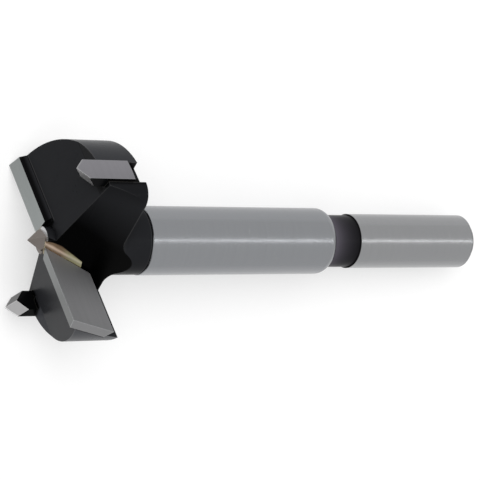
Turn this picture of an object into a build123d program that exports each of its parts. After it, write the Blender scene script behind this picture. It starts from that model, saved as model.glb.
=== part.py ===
from build123d import *
from math import acos, asin, atan2, cos, degrees, hypot, radians, sin, sqrt, tan
import os

# Forstner bit for hinge cups: a steel body with two carbide cutting plates and two carbide rim spurs
# brazed on. It is drawn about its own axis and then laid down as it comes to rest on a flat surface.
# On the bit, X runs from the cutting edges to the shank, Y points outward along the first cutting edge,
# and Z points the way that this edge trails as the bit turns. The second plate, spur and gullet are the
# first ones turned half round the axis. Lengths are in millimetres, angles in degrees.

# Head
cut_diameter = 35.0
head_clearance = 0.5
head_rear = 12.2
flank_set_back = 1.15
flank_relief = 13.2
heel_set_back = 4.6
heel_radius = 2.8

# Web between the gullets, and the gullets
web_width = 3.2
gullet_start = 1.5
gullet_lean = 17.6

# Centre point: a round boss with a four-sided pyramid ground on it
boss_diameter = 4.7
boss_set_back = 0.2
point_height = 2.48
point_half_angle = 38.7
point_turn = 25.0

# Cutting plates
rake_angle = 22.5
edge_lead = 0.45
plate_thickness = 2.3
plate_height = 9.96
plate_inner_reach = 1.97
plate_inner_lean = 15.0
plate_relief = 13.7
plate_side_relief = 14.6

# Rim spurs
spur_width = 4.2
spur_thickness = 2.0
spur_shift = 0.22
spur_lead = 0.2
spur_rear = 10.05
spur_bevel_fall = 1.7
spur_ridge_fall = 1.58

# Brazing metal
braze_gap = 0.12
seam_end_leg = 1.0
seam_leg = 1.7
seam_widest = 3.0
seam_end = 7.3

# Neck, shaft, groove and shank
neck_diameter = 11.8
neck_length = 5.95
neck_fillet = 1.2
shaft_diameter = 12.0
shaft_length = 39.0
shaft_front_chamfer = 0.35
shaft_rear_round = 2.0
shaft_rear_round_length = 1.6
groove_diameter = 9.55
groove_length = 5.8
shank_diameter = 10.0
shank_length = 27.05
shank_end_chamfer = 0.8

# Places that follow from the sizes
cut_radius = cut_diameter / 2
head_radius = cut_radius - head_clearance
boss_radius = boss_diameter / 2
neck_end = head_rear + neck_length
shaft_end = neck_end + shaft_length
groove_end = shaft_end + groove_length
bit_end = groove_end + shank_length
spur_seat = cut_radius - spur_thickness
beyond = cut_diameter
across_rake = 1 / cos(radians(rake_angle))
half_turn = Rot(180, 0, 0)


def rake_trail(x):
    """How far a plate's rake face trails the axis."""
    return x * tan(radians(rake_angle)) - edge_lead


def seat_trail(x):
    """How far the steel wall behind a plate trails the axis."""
    return rake_trail(x) + (plate_thickness + braze_gap) * across_rake


def gullet_floor(x):
    """How far a gullet's floor lies from the axis: level along the web's front, then leaning outward."""
    return web_width / 2 + max(0, x - gullet_start) * tan(radians(gullet_lean))


def plate_start(x):
    """Where a plate begins: its end leans outward, and follows the gullet's floor once that comes close."""
    leaning_end = plate_inner_reach + x * tan(radians(plate_inner_lean))
    return max(leaning_end, gullet_floor(x) + braze_gap)


def flank(trail):
    """How far the steel flank lies behind the cutting edges."""
    return flank_set_back + (trail + edge_lead) * tan(radians(flank_relief))


def heel_centre():
    """Where the heel's rounding is centred, so that it meets the gullet's floor and the rim at the rear."""
    out = gullet_floor(head_rear) - heel_radius
    return -out, sqrt((head_radius - heel_radius) ** 2 - out ** 2)


def keep_side(shape, first, second, third, kept):
    """Cut a shape along the plane through three points and keep the side that a fourth point is on."""
    corner = Vector(*first)
    normal = (Vector(*second) - corner).cross(Vector(*third) - corner)
    side = Keep.TOP if (Vector(*kept) - corner).dot(normal) > 0 else Keep.BOTTOM
    return split(shape, bisect_by=Plane(origin=corner, z_dir=normal), keep=side)


def turned_outline():
    """Head disc, neck, shaft, groove and shank, turned in one piece."""
    head = Polyline(
        (0, 0),
        (0, head_radius),
        (head_rear, head_radius),
        (head_rear, neck_diameter / 2 + neck_fillet),
    )
    stem = Polyline(
        (head_rear + neck_fillet, neck_diameter / 2),
        (neck_end, neck_diameter / 2),
        (neck_end, shaft_diameter / 2 - shaft_front_chamfer),
        (neck_end + shaft_front_chamfer, shaft_diameter / 2),
        (shaft_end - shaft_rear_round_length, shaft_diameter / 2),
    )
    round_centre = (shaft_end - shaft_rear_round_length, shaft_diameter / 2 - shaft_rear_round)
    round_turn = degrees(asin(shaft_rear_round_length / shaft_rear_round))
    rounding = CenterArc(round_centre, shaft_rear_round, 90, -round_turn)
    rear = Polyline(
        (shaft_end, round_centre[1] + shaft_rear_round * cos(radians(round_turn))),
        (shaft_end, groove_diameter / 2),
        (groove_end, groove_diameter / 2),
        (groove_end, shank_diameter / 2),
        (bit_end - shank_end_chamfer, shank_diameter / 2),
        (bit_end, shank_diameter / 2 - shank_end_chamfer),
        (bit_end, 0),
        (0, 0),
    )
    fillet_centre = (head_rear + neck_fillet, neck_diameter / 2 + neck_fillet)
    bend = CenterArc(fillet_centre, neck_fillet, 180, 90)
    return revolve(make_face([head, bend, stem, rounding, rear]), axis=Axis.X)


def flank_cut():
    """What the grinding of one wing's flank takes off: straight to the heel, and level outside the spur."""
    level_trail = (heel_set_back - flank_set_back) / tan(radians(flank_relief)) - edge_lead
    level = Polyline(
        (-point_height, spur_shift, 0),
        (flank(0), spur_shift, 0),
        (heel_set_back, spur_shift, level_trail),
        (heel_set_back, spur_shift, beyond),
        (-point_height, spur_shift, beyond),
        close=True,
    )
    straight = Polyline(
        (-point_height, spur_shift, 0),
        (flank(0), spur_shift, 0),
        (flank(beyond), spur_shift, beyond),
        (-point_height, spur_shift, beyond),
        close=True,
    )
    outside = extrude(make_face(level), beyond, dir=(0, 1, 0))
    return outside + extrude(make_face(straight), beyond, dir=(0, -1, 0))


def heel_cut():
    """What the rounding of one wing's heel takes off, between the gullet's floor and the rim."""
    out, trail = heel_centre()
    reach = beyond / hypot(out, trail)
    corner = Polyline(
        (0, out, trail),
        (0, -beyond, trail),
        (0, -beyond, beyond),
        (0, out * reach, trail * reach),
        close=True,
    )
    kept = Pos(0, out, trail) * Rot(0, 90, 0) * Cylinder(heel_radius, 2 * bit_end)
    return extrude(make_face(corner), head_rear, dir=(1, 0, 0)) - kept


def gullet():
    """One gullet: the wall that carries the plate is behind it, the other wing's back is inside it."""
    plan = Polyline(
        (-point_height, web_width / 2),
        (gullet_start, web_width / 2),
        (neck_end, gullet_floor(neck_end)),
        (neck_end, beyond),
        (-point_height, beyond),
        close=True,
    )
    block = extrude(make_face(plan), beyond, both=True)
    return keep_side(
        block,
        (0, 0, seat_trail(0)),
        (0, 1, seat_trail(0)),
        (1, 0, seat_trail(1)),
        kept=(0, 0, -beyond),
    )


def spur_slot():
    """The slot across the rim that one spur is brazed into, open to the front and to the rear."""
    bottom = spur_seat - braze_gap
    block = Box(
        head_rear,
        spur_width + 2 * braze_gap,
        beyond - bottom,
        align=(Align.MIN, Align.CENTER, Align.MIN),
    )
    return Pos(0, spur_shift, bottom) * block


def centre_boss():
    """The round boss in the middle of the head."""
    height = heel_set_back - boss_set_back
    stub = Cylinder(boss_radius, height, align=(Align.CENTER, Align.CENTER, Align.MIN))
    return Pos(boss_set_back, 0, 0) * Rot(0, 90, 0) * stub


def centre_pyramid():
    """The four facets that are ground on the boss, from its front to the apex."""
    height = point_height + boss_set_back
    blank = Cylinder(boss_radius, height, align=(Align.CENTER, Align.CENTER, Align.MIN))
    pyramid = Pos(-point_height, 0, 0) * Rot(0, 90, 0) * blank
    apex = (-point_height, 0, 0)
    reach = height * tan(radians(point_half_angle))
    corners = []
    for quarter in range(4):
        turn = radians(point_turn + 90 * quarter)
        corners.append((boss_set_back, reach * cos(turn), reach * sin(turn)))
    for first, second in zip(corners, corners[1:] + corners[:1]):
        pyramid = keep_side(pyramid, apex, first, second, kept=(0, 0, 0))
    return pyramid


def bit_body():
    """The steel body: one turned piece with its flanks, gullets, slots and centre point cut into it."""
    boss = centre_boss()
    flanks = flank_cut() + half_turn * flank_cut() - boss
    body = turned_outline() - flanks + centre_pyramid()
    for cut in (gullet(), spur_slot(), heel_cut()):
        body = body - cut - half_turn * cut
    return body


def ground_front():
    """Three points of the plane that a plate and its seam are ground to, back from the cutting edge."""
    edge = (0, 0, -edge_lead)
    edge_outward = (0, 1, -edge_lead)
    behind_edge = (tan(radians(plate_relief)), 0, 1 - edge_lead)
    return edge, edge_outward, behind_edge


def slab_on_wing(depth, thickness):
    """A slab in the plate's place, some depth behind the rake face, trimmed to the ground front and end."""
    slope = radians(rake_angle)
    wing = Plane(origin=(0, 0, -edge_lead), x_dir=(0, 1, 0), z_dir=(-sin(slope), 0, cos(slope)))
    slab = Box(cut_radius, plate_height, thickness, align=(Align.MIN, Align.MAX, Align.MIN))
    slab = wing * Pos(0, 0, depth) * slab
    inside = wing * Pos(cut_radius / 2, -plate_height / 2, plate_thickness / 2)
    slab = keep_side(slab, *ground_front(), kept=inside.position)
    foot_x = plate_height * cos(slope)
    top = Vector(0, sqrt(cut_radius ** 2 - edge_lead ** 2), -edge_lead)
    foot = Vector(foot_x, sqrt(cut_radius ** 2 - rake_trail(foot_x) ** 2), rake_trail(foot_x))
    inward = wing.z_dir - wing.x_dir * tan(radians(plate_side_relief))
    return keep_side(slab, top, foot, top + inward, kept=inside.position)


def outside_floor(shape, gap):
    """What of a shape lies outside the gullet's floor by at least a gap."""
    bend = (gullet_start, web_width / 2 + gap)
    lower = (neck_end, gullet_floor(neck_end) + gap)
    shape = keep_side(shape, (0, bend[1], 0), (1, bend[1], 0), (0, bend[1], 1), kept=(0, beyond, 0))
    return keep_side(shape, (*bend, 0), (*lower, 0), (*bend, 1), kept=(0, beyond, 0))


def cutting_plate():
    """One carbide plate, clear of the web at its inner end."""
    plate = outside_floor(slab_on_wing(0, plate_thickness), braze_gap)
    return keep_side(
        plate,
        (0, plate_inner_reach, 0),
        (0, plate_inner_reach, 1),
        (1, plate_inner_reach + tan(radians(plate_inner_lean)), 0),
        kept=(0, beyond, 0),
    )


def seam_section(x, leg):
    """The seam's outline across the bit: the corner between floor and plate, filled to a sloping front."""
    corners = Polyline(
        (x, gullet_floor(x), seat_trail(x)),
        (x, gullet_floor(x), rake_trail(x) - leg),
        (x, plate_start(x), rake_trail(x)),
        (x, plate_start(x), seat_trail(x)),
        close=True,
    )
    return make_face(corners)


def plate_braze():
    """The brazing metal of one plate: a thin bed behind it and a seam along its inner end."""
    bed = outside_floor(slab_on_wing(plate_thickness, braze_gap), 0) - flank_cut()
    sections = [
        seam_section(-edge_lead, seam_end_leg),
        seam_section(gullet_start, (seam_end_leg + seam_leg) / 2),
        seam_section(seam_widest, seam_leg),
        seam_section(seam_end, seam_end_leg),
    ]
    seam = Part()
    for front, rear in zip(sections, sections[1:]):
        seam += loft([front, rear], ruled=True)
    seam = keep_side(seam, *ground_front(), kept=(beyond, 0, 0))
    open_corner = Pos(0, 0, plate_thickness / 2 * across_rake) * flank_cut()
    return seam - open_corner + bed


def rim_bar(front, rear, width, bottom, radius):
    """A bar along the rim where the spur sits, rounded outside to a radius about the bit's axis."""
    bar = Box(rear - front, width, radius - bottom, align=(Align.MIN, Align.CENTER, Align.MIN))
    rim = Rot(0, 90, 0) * Cylinder(radius, bit_end)
    return (Pos(front, spur_shift, bottom) * bar) & rim


def rim_spur():
    """One carbide spur: its outside runs on the cut circle, and two bevels meet in a ridge at its front."""
    bar = rim_bar(-spur_lead, spur_rear, spur_width, spur_seat, cut_radius)
    ridge_outer = (-spur_lead, spur_shift, cut_radius)
    ridge_inner = (spur_ridge_fall - spur_lead, spur_shift, spur_seat)
    for side in (1, -1):
        corner = (spur_bevel_fall - spur_lead, spur_shift + side * spur_width / 2, cut_radius)
        bar = keep_side(bar, ridge_outer, ridge_inner, corner, kept=(spur_rear, spur_shift, spur_seat))
    return bar


def spur_braze():
    """The thin layer of brazing metal under one spur and at its sides."""
    lined = rim_bar(heel_set_back, spur_rear, spur_width + 2 * braze_gap, spur_seat - braze_gap, head_radius)
    return lined - rim_spur() - flank_cut()


def resting_place(bit):
    """Where the bit lies: on a plate's corner, the other wing's rounded heel and the shank's end."""
    corner_out = sqrt(cut_radius ** 2 - edge_lead ** 2)
    heel_out, heel_trail = heel_centre()
    shank_x = bit_end - shank_end_chamfer
    shank_radius = shank_diameter / 2
    to_heel = shank_x - head_rear
    down_y = corner_out * to_heel + heel_out * shank_x
    down_z = -edge_lead * to_heel + heel_trail * shank_x
    slack = (heel_radius * shank_x - shank_radius * head_rear) / hypot(down_y, down_z)
    turn = atan2(down_z, down_y) - acos(slack)
    drop = corner_out * cos(turn) - edge_lead * sin(turn) - shank_radius
    down = Vector(drop / shank_x, cos(turn), sin(turn)).normalized()
    ahead = Vector(1, 0, 0) - down * down.X
    laid = Plane(origin=(0, 0, 0), x_dir=ahead, z_dir=-down).location.inverse()
    box = (laid * bit).bounding_box()
    return Pos(-box.center().X, -box.center().Y, -box.min.Z) * laid


pieces = {"bit_body": bit_body()}
for name, piece in {
    "cutting_plate": cutting_plate(),
    "rim_spur": rim_spur(),
    "plate_braze": plate_braze(),
    "spur_braze": spur_braze(),
}.items():
    pieces[name + "_a"] = piece
    pieces[name + "_b"] = half_turn * piece

resting = resting_place(Compound(children=[Part() + piece for piece in pieces.values()]))
os.makedirs("parts", exist_ok=True)
for name, piece in pieces.items():
    export_step(resting * piece, f"parts/{name}.step")
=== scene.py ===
import math

import bpy
from mathutils import Matrix, Vector

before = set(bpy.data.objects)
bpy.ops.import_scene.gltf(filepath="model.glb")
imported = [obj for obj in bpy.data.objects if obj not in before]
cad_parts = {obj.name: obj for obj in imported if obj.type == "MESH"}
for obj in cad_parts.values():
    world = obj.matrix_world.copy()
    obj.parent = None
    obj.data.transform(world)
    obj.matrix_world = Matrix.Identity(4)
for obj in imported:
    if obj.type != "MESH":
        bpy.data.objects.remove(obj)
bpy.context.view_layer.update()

# The steel body, turned and milled from one bar and then blackened. Its black carries painted shade in the
# gullets and nooks, painted shadow beside the spur slots, and painted light and shade on rim, lobe, level
# heels and one wing's flank. Shaft, shank and the facets of the centre point are ground bright after the
# bath.
# The groove keeps a violet tint next to the shaft.
mm = 0.001
bit_origin = (-0.0437432, 0.0, 0.0141757)
bit_turn = (math.radians(-53.053103), math.radians(5.921488), 0.0)
shaft_from, shaft_to = 18.4, 57.12
shank_from, shank_to = 62.98, 89.2
boss_reach, shoulder_back, crescent_side = 2.4, 0.21, -0.3
facets_to, facets_to_on_crescent = 0.9, 0.19
plate_rake, plate_relief, edge_lead, plate_back = math.radians(22.5), math.radians(13.7), 0.45, 2.25
rake_slope, relief_slope = math.tan(plate_rake), math.tan(plate_relief)
floor_start, floor_slope, black_until, grey_from = 1.07, math.tan(math.radians(17.6)), 6.9, 16.5
heel_level, heel_slack, flank_lit_to = 4.6, 0.02, 5.2
rim_from, lobe_side, lobe_from, lobe_full = 16.93, -1.9, 13.5, 17.0
spur_middle, shadow_near, shadow_far, shadow_from, shadow_full = 0.22, 2.1, 3.1, 13.8, 14.9
heel_painted_light_a, heel_painted_light_b, flank_painted_light_b = 0.42, 3.3, 1.5
rim_painted_light_a, rim_painted_light_b, lobe_painted_shade = 2.0, 4.0, 0.6
edge_reach, edge_sure, edge_gone, edge_wear_low, edge_wear_high = 0.22 * mm, 0.5, 0.92, 0.1, 0.6
nook_shade_reach, shut_in, in_the_open = 3.0 * mm, 0.42, 0.93
turning_marks, grinding_depth, marks_strength = (13.0, 0.16, 0.16), 0.002 * mm, 0.5
oxide_low, oxide_high = (0.0122, 0.0128, 0.0145), (0.0158, 0.0163, 0.0182)
black_low, black_high = (0.0012, 0.0013, 0.0015), (0.0026, 0.0027, 0.0030)
painted_shade_black, worn_black = (0.0002, 0.0002, 0.0002), (0.09, 0.09, 0.09)
groove_violet, violet_fade = (0.102, 0.092, 0.113), 0.035
shaft_low, shaft_high = (0.234, 0.241, 0.252), (0.256, 0.263, 0.274)
shank_low, shank_high = (0.256, 0.260, 0.266), (0.280, 0.283, 0.288)
facet_low, facet_high = (0.150, 0.132, 0.120), (0.185, 0.165, 0.155)
crescent_highlight_grey = (0.50, 0.50, 0.51)
oxide_rough_low, oxide_rough_high, shank_end_rough = 0.24, 0.34, 0.9
ground_rough_low, ground_rough_high = 0.20, 0.30
skin_ior = 1.1


def fill(tree, socket, value):
    """Link a socket to another node's output, or set it to a fixed value."""
    if isinstance(value, bpy.types.NodeSocket):
        tree.links.new(value, socket)
    elif socket.type == "RGBA":
        socket.default_value = (*value, 1.0)
    else:
        socket.default_value = value


def add(tree, kind, **settings):
    """A shader node; settings that it has as inputs go there, and the others on the node."""
    made = tree.nodes.new(kind)
    for name, value in settings.items():
        spaced = name.replace("_", " ")
        if spaced in made.inputs:
            fill(tree, made.inputs[spaced], value)
        else:
            setattr(made, name, value)
    return made


def math_node(tree, operation, *values):
    """A Math node's result for up to three numbers or sockets."""
    made = tree.nodes.new("ShaderNodeMath")
    made.operation = operation
    for socket, value in zip(made.inputs, values):
        fill(tree, socket, value)
    return made.outputs[0]


def above(tree, value, limit):
    """A mask of where a number is over a limit."""
    return math_node(tree, "GREATER_THAN", value, limit)


def below(tree, value, limit):
    """A mask of where a number is under a limit."""
    return math_node(tree, "LESS_THAN", value, limit)


def times(tree, first, second):
    """Two numbers multiplied; for masks, the places that are in both."""
    return math_node(tree, "MULTIPLY", first, second)


def sloped(tree, value, slope, start):
    """A number that follows another along a straight line."""
    return math_node(tree, "MULTIPLY_ADD", value, slope, start)


def distance_from(tree, value, middle):
    """How far a number is from a middle, on either side."""
    return math_node(tree, "ABSOLUTE", math_node(tree, "SUBTRACT", value, middle))


def ramp(tree, value, start, end, smooth=True, falling=False):
    """A mask that goes from 0 to 1, or falls from 1 to 0, while a number goes from start to end."""
    made = add(tree, "ShaderNodeMapRange", From_Min=start, From_Max=end, Value=value)
    made.interpolation_type = "SMOOTHSTEP" if smooth else "LINEAR"
    if falling:
        made.inputs["To Min"].default_value, made.inputs["To Max"].default_value = 1.0, 0.0
    return made.outputs[0]


def blend_number(tree, share, first, second):
    """A number between two, by a share from 0 to 1."""
    return add(tree, "ShaderNodeMapRange", Value=share, To_Min=first, To_Max=second).outputs[0]


def mix_colour(tree, share, first, second):
    """A colour between two, by a share from 0 to 1."""
    made = tree.nodes.new("ShaderNodeMix")
    made.data_type = "RGBA"
    for socket, value in zip((made.inputs[0], made.inputs[6], made.inputs[7]), (share, first, second)):
        fill(tree, socket, value)
    return made.outputs[2]


def stretched(tree, vector, factors):
    """A place or colour with each of its three parts multiplied."""
    made = add(tree, "ShaderNodeVectorMath", operation="MULTIPLY")
    fill(tree, made.inputs[0], vector)
    fill(tree, made.inputs[1], factors)
    return made.outputs[0]


def brightened(tree, colour, brightness):
    """A colour multiplied by one number."""
    made = add(tree, "ShaderNodeVectorMath", operation="SCALE", Scale=brightness)
    tree.links.new(colour, made.inputs[0])
    return made.outputs[0]


def new_group(name, numbers_in=(), vectors_in=(), numbers_out=(), vectors_out=()):
    """An empty shader node group with named sockets."""
    group = bpy.data.node_groups.new(name, "ShaderNodeTree")
    for socket in vectors_in:
        group.interface.new_socket(socket, in_out="INPUT", socket_type="NodeSocketVector")
    for socket in numbers_in:
        group.interface.new_socket(socket, in_out="INPUT", socket_type="NodeSocketFloat")
    for socket in vectors_out:
        group.interface.new_socket(socket, in_out="OUTPUT", socket_type="NodeSocketVector")
    for socket in numbers_out:
        group.interface.new_socket(socket, in_out="OUTPUT", socket_type="NodeSocketFloat")
    return group, group.nodes.new("NodeGroupInput"), group.nodes.new("NodeGroupOutput")


def give(group, out, **values):
    """Send a node group's results to its named outputs."""
    for name, value in values.items():
        group.links.new(value, out.inputs[name])


def use(tree, group, **values):
    """The outputs of a node group placed in a material."""
    made = tree.nodes.new("ShaderNodeGroup")
    made.node_tree = group
    for name, value in values.items():
        fill(tree, made.inputs[name], value)
    return made.outputs


def start_material(name):
    """A material with its shader, ready for its nodes."""
    material = bpy.data.materials.new(name)
    material.use_nodes = True
    return material, material.node_tree, material.node_tree.nodes["Principled BSDF"]


def engrave(tree, shader, height, depth, strength):
    """Bump of a depth on a material's surface."""
    bump = add(tree, "ShaderNodeBump", Strength=strength, Distance=depth, Height=height)
    tree.links.new(bump.outputs[0], shader.inputs["Normal"])


def paint(nodes, material):
    """Give CAD nodes a material."""
    for node in nodes:
        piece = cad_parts[node]
        piece.data.materials.clear()
        piece.data.materials.append(material)


bit_axes, _, out = new_group("bit axes in mm", vectors_out=("Vector",), numbers_out=("Along", "Radius"))
place = add(bit_axes, "ShaderNodeTexCoord")
turned = add(bit_axes, "ShaderNodeMapping", vector_type="TEXTURE", Vector=place.outputs["Object"],
             Location=bit_origin, Rotation=bit_turn, Scale=(mm, mm, mm)).outputs[0]
parts = add(bit_axes, "ShaderNodeSeparateXYZ", Vector=turned)
squares = math_node(bit_axes, "ADD", math_node(bit_axes, "POWER", parts.outputs[1], 2.0),
                    math_node(bit_axes, "POWER", parts.outputs[2], 2.0))
give(bit_axes, out, Vector=turned, Along=parts.outputs[0], Radius=math_node(bit_axes, "SQRT", squares))

plate_axes, _, out = new_group("plate axes in mm", numbers_out=("Along", "Out", "Depth", "Wing", "Front"))
axes = use(plate_axes, bit_axes)
parts = add(plate_axes, "ShaderNodeSeparateXYZ", Vector=axes["Vector"])
wing = math_node(plate_axes, "SIGN", parts.outputs[1])
trail = times(plate_axes, wing, parts.outputs[2])
rake = math_node(plate_axes, "SUBTRACT", times(plate_axes, axes["Along"], rake_slope), edge_lead)
depth = times(plate_axes, math_node(plate_axes, "SUBTRACT", trail, rake), math.cos(plate_rake))
relief = sloped(plate_axes, trail, -relief_slope, -edge_lead * relief_slope)
front = math_node(plate_axes, "ADD", axes["Along"], relief)
give(plate_axes, out, Along=axes["Along"], Out=times(plate_axes, wing, parts.outputs[1]), Depth=depth,
     Wing=wing, Front=front)

worn_edges, given, out = new_group("worn edges", numbers_in=("Reach",), numbers_out=("Mask",))
inside = add(worn_edges, "ShaderNodeAmbientOcclusion", samples=8, inside=True, only_local=True,
             Distance=given.outputs["Reach"])
give(worn_edges, out, Mask=ramp(worn_edges, inside.outputs["AO"], edge_sure, edge_gone, falling=True))

# Painted shade: a mask from ambient occlusion that is 0 in nooks and recesses, where the black is darkened.
painted_nook_shade, given, out = new_group("painted nook shade", numbers_in=("Reach",), numbers_out=("Mask",))
around = add(painted_nook_shade, "ShaderNodeAmbientOcclusion", samples=12, Distance=given.outputs["Reach"])
give(painted_nook_shade, out, Mask=ramp(painted_nook_shade, around.outputs["AO"], shut_in, in_the_open))

ground_lines, given, out = new_group("ground lines", vectors_in=("Vector",), numbers_out=("Height", "Tone"))
fine = add(ground_lines, "ShaderNodeTexNoise", Vector=given.outputs["Vector"], Scale=1.0, Detail=3.0,
           Roughness=0.7)
broad = add(ground_lines, "ShaderNodeTexNoise", Vector=given.outputs["Vector"], Scale=0.17, Detail=2.0)
give(ground_lines, out, Height=fine.outputs["Fac"], Tone=broad.outputs["Fac"])

steel, tree, shader = start_material("blackened and ground steel")
axes = use(tree, bit_axes)
at_plate = use(tree, plate_axes)
along, radius = axes["Along"], axes["Radius"]
parts = add(tree, "ShaderNodeSeparateXYZ", Vector=axes["Vector"])
lines = use(tree, ground_lines, Vector=stretched(tree, axes["Vector"], turning_marks))
mottle = add(tree, "ShaderNodeTexNoise", Vector=axes["Vector"], Scale=0.45, Detail=5.0, Roughness=0.62)
mottle = mottle.outputs["Fac"]
grain = add(tree, "ShaderNodeTexNoise", Vector=axes["Vector"], Scale=7.0, Detail=3.0).outputs["Fac"]
worn = times(tree, use(tree, worn_edges, Reach=edge_reach)["Mask"],
             blend_number(tree, grain, edge_wear_low, edge_wear_high))

# How grey the black is, as painted light and shade: it differs between the wings on heel, flank and rim for
# how light falls there, is painted darker on the lobe, and is darkest in the nooks as painted shade.
on_wing_a = above(tree, parts.outputs[2], 0.0)
side = times(tree, math_node(tree, "SIGN", parts.outputs[2]), parts.outputs[1])
on_heel = math_node(tree, "COMPARE", along, heel_level, heel_slack)
heel_painted_light = blend_number(tree, on_wing_a, heel_painted_light_b, heel_painted_light_a)
plain_flank = math_node(tree, "MAXIMUM", on_wing_a, above(tree, along, flank_lit_to))
painted_light_tone = blend_number(tree, plain_flank, flank_painted_light_b, 1.0)
on_rim = times(tree, above(tree, radius, rim_from), above(tree, side, lobe_side))
painted_light_tone = blend_number(tree, on_rim, painted_light_tone, blend_number(tree, on_wing_a, rim_painted_light_b, rim_painted_light_a))
on_lobe = times(tree, below(tree, side, lobe_side), on_wing_a)
on_lobe = times(tree, on_lobe, ramp(tree, radius, lobe_from, lobe_full))
painted_light_tone = blend_number(tree, on_lobe, painted_light_tone, lobe_painted_shade)
painted_light_tone = blend_number(tree, on_heel, painted_light_tone, heel_painted_light)
black = brightened(tree, mix_colour(tree, mottle, oxide_low, oxide_high), painted_light_tone)
# Painted shade: the black goes deeper in nooks and recesses.
black = mix_colour(tree, use(tree, painted_nook_shade, Reach=nook_shade_reach)["Mask"], black_low, black)

# Painted shadow lies beside the spur slots, and painted shade in the gullets deepens towards the plate.
beside_slot = ramp(tree, distance_from(tree, side, spur_middle), shadow_near, shadow_far, falling=True)
outward = ramp(tree, math_node(tree, "ABSOLUTE", parts.outputs[2]), shadow_from, shadow_full)
unshadowed_side = times(tree, on_wing_a, above(tree, side, 0.0))
spur_painted_shadow = times(tree, times(tree, beside_slot, outward), math_node(tree, "SUBTRACT", 1.0, unshadowed_side))
in_gullet = times(tree, above(tree, at_plate["Out"], sloped(tree, along, floor_slope, floor_start)),
                  below(tree, at_plate["Depth"], plate_back))
gullet_painted_shade = times(tree, in_gullet, ramp(tree, at_plate["Depth"], -grey_from, -black_until, smooth=False))
black = mix_colour(tree, math_node(tree, "MAXIMUM", gullet_painted_shade, spur_painted_shadow), black, painted_shade_black)

# The groove is violet next to the shaft and black next to the shank.
in_groove = times(tree, above(tree, along, shaft_to), below(tree, along, shank_from))
rearward = ramp(tree, along, shaft_to, shank_from, smooth=False)
black = mix_colour(tree, times(tree, in_groove, rearward), black, black_high)
violet = times(tree, in_groove, math_node(tree, "POWER", violet_fade, rearward))
black = mix_colour(tree, violet, black, groove_violet)
black = mix_colour(tree, worn, black, worn_black)

# Shaft and shank show the fine lines of the grinding wheel. The crescent beside the point is brightest, a
# painted highlight on its shoulder; on the other side the facet colour runs back over the boss side, painted
# light over its shade.
on_shaft = times(tree, above(tree, along, shaft_from), below(tree, along, shaft_to))
on_shank = times(tree, above(tree, along, shank_from), below(tree, along, shank_to))
bright = math_node(tree, "ADD", on_shaft, on_shank)
ground = mix_colour(tree, on_shaft, mix_colour(tree, lines["Tone"], shank_low, shank_high),
                    mix_colour(tree, lines["Tone"], shaft_low, shaft_high))
in_boss = below(tree, radius, boss_reach)
on_point = times(tree, below(tree, along, shoulder_back), in_boss)
on_crescent = above(tree, parts.outputs[2], crescent_side)
facets_end = blend_number(tree, on_crescent, facets_to, facets_to_on_crescent)
on_facets = times(tree, below(tree, along, facets_end), in_boss)
facet = mix_colour(tree, mottle, facet_low, facet_high)
colour = mix_colour(tree, bright, black, ground)
colour = mix_colour(tree, on_point, colour, mix_colour(tree, on_crescent, facet, crescent_highlight_grey))
colour = mix_colour(tree, on_facets, colour, facet)
bare = math_node(tree, "ADD", bright, on_point)
oxide_rough = blend_number(tree, mottle, oxide_rough_low, oxide_rough_high)
oxide_rough = blend_number(tree, above(tree, along, shank_to), oxide_rough, shank_end_rough)
ground_rough = blend_number(tree, lines["Height"], ground_rough_low, ground_rough_high)
tree.links.new(colour, shader.inputs["Base Color"])
tree.links.new(math_node(tree, "MAXIMUM", bare, worn), shader.inputs["Metallic"])
tree.links.new(blend_number(tree, bare, oxide_rough, ground_rough), shader.inputs["Roughness"])
shader.inputs["IOR"].default_value = skin_ior
marks = blend_number(tree, bare, grain, lines["Height"])
engrave(tree, shader, marks, grinding_depth, marks_strength)
paint(["bit_body"], steel)

# The two cutting plates are ground tungsten carbide, brazed on the walls behind the gullets. Their front,
# rake face and outer end are ground after brazing. The rest of them is black from the blackening bath, and
# greyer at the back, away from the cutting edge.
plate_reach, plate_lean = 2.01, math.tan(math.radians(15.0))
end_reach, end_fall, end_slant = 17.44, 0.035, 0.274
rake_skin, front_skin, back_black_to, back_grey_from = 0.03, 0.04, 0.4, 1.15
# The brightness of the plate faces below is painted light and shade.
front_painted_light_a, front_light_fall_a, front_painted_light_b, front_light_fall_b = 1.03, -0.006, 0.655, -0.0195
rake_painted_light, rake_light_fall, side_painted_light, end_painted_light = 1.60, -0.04, 1.08, 0.565
carbide_low, carbide_high, carbide_edge = (0.253, 0.253, 0.253), (0.293, 0.293, 0.293), (0.42, 0.43, 0.43)
plate_tint, front_tint, plate_wear = (0.99, 0.99, 1.01), (0.95, 1.01, 1.0), 0.5
carbide_rough_low, carbide_rough_high, rake_rough_low, rake_rough_high = 0.26, 0.38, 0.56, 0.66
cross_marks, grain_share, carbide_depth, carbide_edge_reach = (9.0, 0.5, 9.0), 0.4, 0.0015 * mm, 0.18 * mm

carbide_tone, given, out = new_group("ground carbide tone", vectors_in=("Vector",),
                                     numbers_out=("Tone", "Grain", "Height"))
lines = use(carbide_tone, ground_lines, Vector=stretched(carbide_tone, given.outputs["Vector"], cross_marks))
grain = add(carbide_tone, "ShaderNodeTexNoise", Vector=given.outputs["Vector"], Scale=16.0, Detail=2.0)
grain = grain.outputs["Fac"]
height = math_node(carbide_tone, "ADD", lines["Height"], times(carbide_tone, grain, grain_share))
give(carbide_tone, out, Tone=lines["Tone"], Grain=grain, Height=height)


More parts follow.
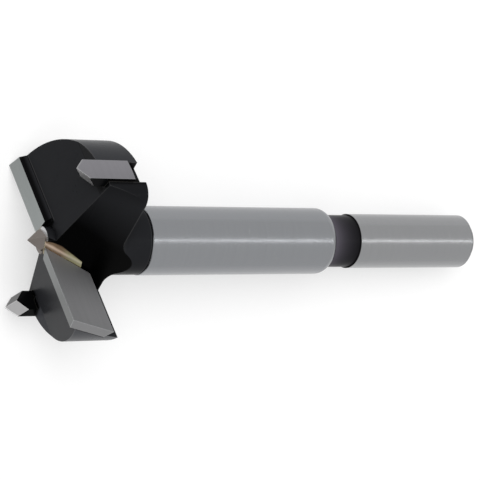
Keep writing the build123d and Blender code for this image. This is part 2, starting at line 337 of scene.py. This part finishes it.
def carbide_skin(tree, shader, ground_mask, brightness, tint, black, edges, wear, rough_low, rough_high):
    """Carbide that is ground where a mask says so, as bright as a number says, and black elsewhere."""
    tones = use(tree, carbide_tone, Vector=use(tree, bit_axes)["Vector"])
    worn = times(tree, use(tree, worn_edges, Reach=carbide_edge_reach)["Mask"], wear)
    bare = stretched(tree, mix_colour(tree, tones["Tone"], carbide_low, carbide_high), tint)
    bare = mix_colour(tree, worn, brightened(tree, bare, brightness), edges)
    tree.links.new(mix_colour(tree, ground_mask, black, bare), shader.inputs["Base Color"])
    tree.links.new(ground_mask, shader.inputs["Metallic"])
    tree.links.new(blend_number(tree, tones["Grain"], rough_low, rough_high), shader.inputs["Roughness"])
    shader.inputs["IOR"].default_value = skin_ior
    engrave(tree, shader, tones["Height"], carbide_depth, marks_strength)


plate_skin, tree, shader = start_material("ground carbide of the plates")
axes = use(tree, plate_axes)
before_back = below(tree, axes["Depth"], plate_back)
off_inner_end = above(tree, axes["Out"], sloped(tree, axes["Along"], plate_lean, plate_reach))
ground_mask = times(tree, before_back, off_inner_end)
on_rake = below(tree, axes["Depth"], rake_skin)
on_front = below(tree, axes["Front"], front_skin)
end_at = sloped(tree, axes["Depth"], -end_slant, sloped(tree, axes["Along"], -end_fall, end_reach))
on_end = above(tree, axes["Out"], end_at)
# Painted light and shade: front, rake face, sides and outer end each get their own brightness, the front
# different on the two wings, and front and rake face fading outward, for how light falls on them.
front_painted_light = blend_number(tree, above(tree, axes["Wing"], 0.0),
                          sloped(tree, axes["Out"], front_light_fall_b, front_painted_light_b),
                          sloped(tree, axes["Out"], front_light_fall_a, front_painted_light_a))
brightness = blend_number(tree, on_rake, side_painted_light, sloped(tree, axes["Out"], rake_light_fall, rake_painted_light))
brightness = blend_number(tree, on_front, brightness, front_painted_light)
brightness = blend_number(tree, on_end, brightness, end_painted_light)
tint = mix_colour(tree, on_front, plate_tint, front_tint)
on_back = times(tree, ramp(tree, axes["Front"], back_black_to, back_grey_from),
                math_node(tree, "SUBTRACT", 1.0, before_back))
black = mix_colour(tree, on_back, black_low, oxide_high)
carbide_skin(tree, shader, ground_mask, brightness, tint, black, carbide_edge, plate_wear,
             blend_number(tree, on_rake, carbide_rough_low, rake_rough_low),
             blend_number(tree, on_rake, carbide_rough_high, rake_rough_high))
paint(["cutting_plate_a", "cutting_plate_b"], plate_skin)

# The two rim spurs are carbide bars, brazed in slots across the rim. Their outside is ground to the cut
# circle and their two front bevels are ground last; each of these faces is painted lighter or darker, the
# near bevel differently on the two wings, for how light falls on it. Their sides and their inner face stay
# black.
spur_half, spur_inside, spur_back, bevel_reach = 2.08, 15.52, 10.02, 17.45
near_bevel_light_a, near_bevel_light_b, far_bevel_light, outside_painted_light = 1.75, 0.42, 1.48, 0.73
outside_tint, bevel_tint = (0.99, 0.97, 1.04), (1.0, 0.99, 1.0)
bevel_edge, outside_wear, bevel_wear = (1.0, 1.0, 1.0), 0.5, 1.0

spur_skin, tree, shader = start_material("ground carbide of the spurs")
axes = use(tree, bit_axes)
parts = add(tree, "ShaderNodeSeparateXYZ", Vector=axes["Vector"])
wing = math_node(tree, "SIGN", parts.outputs[2])
across = math_node(tree, "SUBTRACT", times(tree, wing, parts.outputs[1]), spur_middle)
off_sides = below(tree, math_node(tree, "ABSOLUTE", across), spur_half)
off_inside = above(tree, times(tree, wing, parts.outputs[2]), spur_inside)
off_rear = below(tree, axes["Along"], spur_back)
ground_mask = times(tree, off_sides, times(tree, off_inside, off_rear))
on_bevels = below(tree, axes["Radius"], bevel_reach)
# Painted light and shade: each bevel and the outside get their own brightness, the near bevel different per
# wing.
near_bevel_light = blend_number(tree, above(tree, wing, 0.0), near_bevel_light_b, near_bevel_light_a)
bevel_painted_light = blend_number(tree, above(tree, across, 0.0), near_bevel_light, far_bevel_light)
carbide_skin(tree, shader, ground_mask, blend_number(tree, on_bevels, outside_painted_light, bevel_painted_light),
             mix_colour(tree, on_bevels, outside_tint, bevel_tint),
             mix_colour(tree, off_rear, black_low, black_high),
             mix_colour(tree, on_bevels, carbide_edge, bevel_edge),
             blend_number(tree, on_bevels, outside_wear, bevel_wear), carbide_rough_low, carbide_rough_high)
paint(["rim_spur_a", "rim_spur_b"], spur_skin)

# Brazing metal holds each plate: a thin bed behind it and a seam along its inner end, as it flowed. Only
# the seam's front is bare: reddish at the centre, yellow where it ends, with a smooth crown between, raised
# in the bump and lit by a painted highlight along its ridge. Its end towards the cutting edge is ground
# flush with the plate's front.
seam_bare, seam_swell, swell_at, swell_fall = 1.0, 1.7, 3.0, -0.12
foot_to, foot_clear, flush_skin = 0.05, 0.45, 0.05
yellow_from, yellow_full, joint_from, joint_full = 2.8, 5.4, -0.24, 0.04
crown_at, crown_fall, crown_half, crown_highlight_share = -0.52, -0.02, 0.42, 0.75
red_low, red_high = (0.095, 0.058, 0.036), (0.210, 0.150, 0.095)
yellow_low, yellow_high = (0.20, 0.185, 0.10), (0.36, 0.345, 0.215)
red_crown_highlight, yellow_crown_highlight = (0.60, 0.47, 0.37), (0.42, 0.39, 0.29)
joint_brown, foot_brown = (0.055, 0.040, 0.024), (0.035, 0.018, 0.011)
flush_end_a, flush_end_b = (0.33, 0.32, 0.29), (0.60, 0.55, 0.40)
braze_rough_low, braze_rough_high = 0.34, 0.50
pit_share, flow_depth, flow_strength = 0.2, 0.06 * mm, 0.6

braze, tree, shader = start_material("brazing metal")
axes = use(tree, plate_axes)
flow = add(tree, "ShaderNodeTexNoise", Vector=use(tree, bit_axes)["Vector"], Scale=0.9, Detail=4.0,
           Roughness=0.6).outputs["Fac"]
pits = add(tree, "ShaderNodeTexNoise", Vector=use(tree, bit_axes)["Vector"], Scale=6.0, Detail=2.0)
pits = pits.outputs["Fac"]
to_end = ramp(tree, axes["Along"], yellow_from, yellow_full)
crown_line = sloped(tree, axes["Along"], crown_fall, crown_at)
crown_off = distance_from(tree, axes["Depth"], crown_line)
crown_with_highlight = ramp(tree, crown_off, 0.0, crown_half, falling=True)
bare = mix_colour(tree, to_end, mix_colour(tree, flow, red_low, red_high),
                  mix_colour(tree, flow, yellow_low, yellow_high))
# Painted highlight along the crown's ridge.
bare = mix_colour(tree, times(tree, crown_with_highlight, crown_highlight_share), bare,
                  mix_colour(tree, to_end, red_crown_highlight, yellow_crown_highlight))
joint = times(tree, ramp(tree, axes["Depth"], joint_from, joint_full), to_end)
bare = mix_colour(tree, joint, bare, joint_brown)
swell = sloped(tree, distance_from(tree, axes["Along"], swell_at), swell_fall, seam_swell)
off_foot = ramp(tree, math_node(tree, "ADD", axes["Depth"], swell), foot_to, foot_clear)
bare = mix_colour(tree, off_foot, foot_brown, bare)
flush_end = below(tree, axes["Front"], flush_skin)
flush_colour = mix_colour(tree, above(tree, axes["Wing"], 0.0), flush_end_b, flush_end_a)
bare = mix_colour(tree, flush_end, bare, flush_colour)
on_front = math_node(tree, "MAXIMUM", flush_end, below(tree, axes["Depth"], seam_bare))
tree.links.new(mix_colour(tree, on_front, black_low, bare), shader.inputs["Base Color"])
tree.links.new(on_front, shader.inputs["Metallic"])
tree.links.new(blend_number(tree, pits, braze_rough_low, braze_rough_high), shader.inputs["Roughness"])
shader.inputs["IOR"].default_value = skin_ior
surface = math_node(tree, "ADD", flow, times(tree, pits, pit_share))
engrave(tree, shader, math_node(tree, "ADD", surface, crown_with_highlight), flow_depth, flow_strength)
paint(["plate_braze_a", "plate_braze_b"], braze)

# The same brazing metal lines each spur's slot, under the bar and at both of its sides. It went black in the
# bath, and shows as a fine dark line.
dark_metal, dark_rough_low, dark_rough_high = (0.008, 0.006, 0.004), 0.30, 0.46

dark_braze, tree, shader = start_material("blackened brazing metal")
pits = add(tree, "ShaderNodeTexNoise", Vector=use(tree, bit_axes)["Vector"], Scale=6.0, Detail=2.0)
pits = pits.outputs["Fac"]
tree.links.new(mix_colour(tree, pits, black_low, dark_metal), shader.inputs["Base Color"])
tree.links.new(blend_number(tree, pits, dark_rough_low, dark_rough_high), shader.inputs["Roughness"])
shader.inputs["IOR"].default_value = skin_ior
paint(["spur_braze_a", "spur_braze_b"], dark_braze)

# The floor is plain and pale, in a white studio. Both show as white, and the floor keeps the bit's shadow.
# A long strip lamp draws the line of light on shaft and shank, and a soft lamp lights the head.
floor_size, floor_grey, floor_glow, white = 6.0, (0.55, 0.55, 0.55, 1.0), 0.45, (1.0, 1.0, 1.0, 1.0)
studio_light, studio_seen = 0.7, 1.0


def seen_directly(tree):
    """1 for what is seen straight, in a reflection or through glass, and 0 for light that falls on it."""
    path = add(tree, "ShaderNodeLightPath")
    past_surfaces = math_node(tree, "MAXIMUM", path.outputs["Is Glossy Ray"],
                              path.outputs["Is Transmission Ray"])
    return math_node(tree, "MAXIMUM", path.outputs["Is Camera Ray"], past_surfaces)


def lamp(name, towards, distance, long_side, short_side, strength, along=(1.0, 0.0, 0.0)):
    """A rectangular lamp seen from the bit in a direction, with its long side along another."""
    back = Vector(towards).normalized()
    side = (Vector(along) - back * back.dot(Vector(along))).normalized()
    data = bpy.data.lights.new(name, "AREA")
    data.shape = "RECTANGLE"
    data.size, data.size_y = long_side, short_side
    data.energy = strength * math.pi * long_side * short_side
    made = bpy.data.objects.new(name, data)
    bpy.context.scene.collection.objects.link(made)
    turn = Matrix((side, back.cross(side), back)).transposed()
    made.matrix_world = Matrix.Translation(back * distance) @ turn.to_4x4()
    return made


bpy.ops.object.select_all(action="DESELECT")
bpy.ops.mesh.primitive_plane_add(size=floor_size, location=(0.0, 0.0, 0.0))
floor = bpy.context.object
floor.name = "floor"
pale, tree, shader = start_material("pale floor")
shader.inputs["Base Color"].default_value = floor_grey
shader.inputs["Roughness"].default_value = 1.0
shader.inputs["Specular IOR Level"].default_value = 0.0
shader.inputs["Emission Color"].default_value = white
tree.links.new(times(tree, seen_directly(tree), floor_glow), shader.inputs["Emission Strength"])
floor.data.materials.append(pale)

world = bpy.data.worlds.new("white studio")
bpy.context.scene.world = world
world.use_nodes = True
tree = world.node_tree
background = tree.nodes["Background"]
background.inputs["Color"].default_value = white
tree.links.new(blend_number(tree, seen_directly(tree), studio_light, studio_seen),
               background.inputs["Strength"])

lamp("strip", towards=(0.626, 0.176, 0.760), distance=0.9, long_side=0.9, short_side=0.03, strength=6.0,
     along=(0.995, 0.0, -0.103))
soft = lamp("softbox", towards=(-0.302, 0.460, 0.823), distance=1.2, long_side=0.9, short_side=0.9,
            strength=3.4)
soft.visible_glossy = False

camera_data = bpy.data.cameras.new("camera")
camera_data.lens = 144.96
camera_data.sensor_width = 36.0
camera_data.clip_start, camera_data.clip_end = 0.01, 20.0
camera = bpy.data.objects.new("camera", camera_data)
bpy.context.scene.collection.objects.link(camera)
camera.location = (-0.161526, 0.059987, 0.310176)
camera.rotation_euler = (math.radians(-13.380317), math.radians(-26.289209), math.radians(7.403030))
bpy.context.scene.camera = camera
bpy.context.scene.view_settings.view_transform = "Standard"
